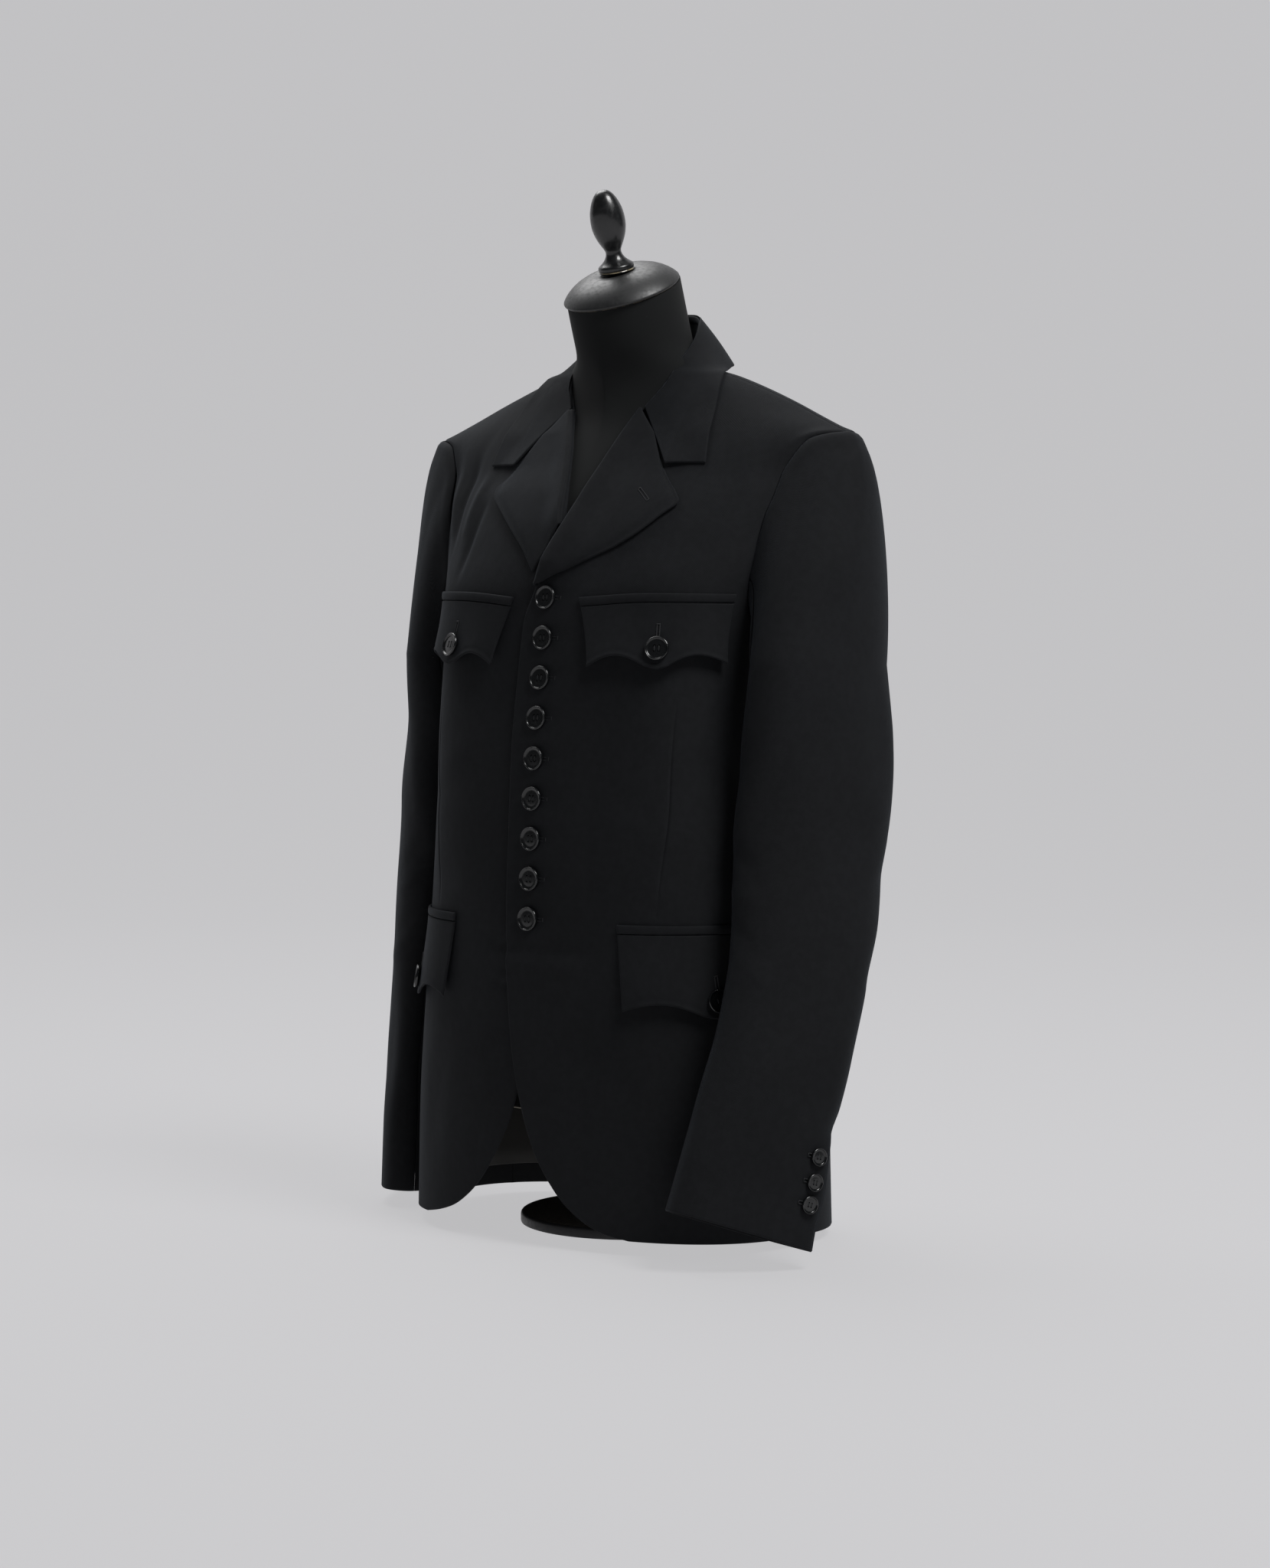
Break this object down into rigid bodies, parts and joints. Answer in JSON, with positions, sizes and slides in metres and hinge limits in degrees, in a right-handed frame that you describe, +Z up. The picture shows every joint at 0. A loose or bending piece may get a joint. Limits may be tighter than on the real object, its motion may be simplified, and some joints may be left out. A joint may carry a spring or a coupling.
{
  "type": "blazer on dress form",
  "caption": "Single-breasted black wool blazer with notched lapels and scalloped buttoned pocket flaps, standing on a limbless dress form with a turned finial and a low base.",
  "frame": {"origin": "centre of the underside of the stand's base, on the floor", "axes": "+Z up, -Y towards the front of the blazer, +X towards the wearer's left arm"},
  "size_m": [0.5227, 0.2836, 0.8734],
  "materials": {
    "wool_twill": "near-black worsted wool twill, matt, faintly blue",
    "lining_brown": "dark olive-brown lining cloth with a soft sheen",
    "button_black": "black, dished, glossy rim",
    "form_cloth": "black form cover, matt",
    "wood_black": "black lacquer, satin, worn at the edges",
    "stand_black": "black, satin"
  },
  "bodies": {
    "root": {"back_left": "wool_twill", "back_right": "wool_twill", "button_chest_left": "button_black", "button_chest_right": "button_black", "button_cuff_left_1": "button_black", "button_cuff_left_2": "button_black", "button_cuff_left_3": "button_black", "button_cuff_right_1": "button_black", "button_cuff_right_2": "button_black", "button_cuff_right_3": "button_black", "button_front_1": "button_black", "button_front_2": "button_black", "button_front_3": "button_black", "button_front_4": "button_black", "button_front_5": "button_black", "button_front_6": "button_black", "button_front_7": "button_black", "button_front_8": "button_black", "button_front_9": "button_black", "button_hip_left": "button_black", "button_hip_right": "button_black", "collar_fall": "wool_twill", "collar_stand": "wool_twill", "flap_chest_left": "wool_twill", "flap_chest_right": "wool_twill", "flap_hip_left": "wool_twill", "flap_hip_right": "wool_twill", "form_base": "stand_black", "form_cap": "wood_black", "form_finial": "wood_black", "form_pole": "stand_black", "form_torso": "form_cloth", "front_left": "wool_twill", "front_right": "wool_twill", "lapel_left": "wool_twill", "lapel_right": "wool_twill", "lining_left": "lining_brown", "lining_right": "lining_brown", "side_left": "wool_twill", "side_right": "wool_twill", "sleeve_top_left": "wool_twill", "sleeve_top_right": "wool_twill", "sleeve_under_left": "wool_twill", "sleeve_under_right": "wool_twill", "welt_chest_left": "wool_twill", "welt_chest_right": "wool_twill", "welt_hip_left": "wool_twill", "welt_hip_right": "wool_twill"}
  },
  "joints": []
}
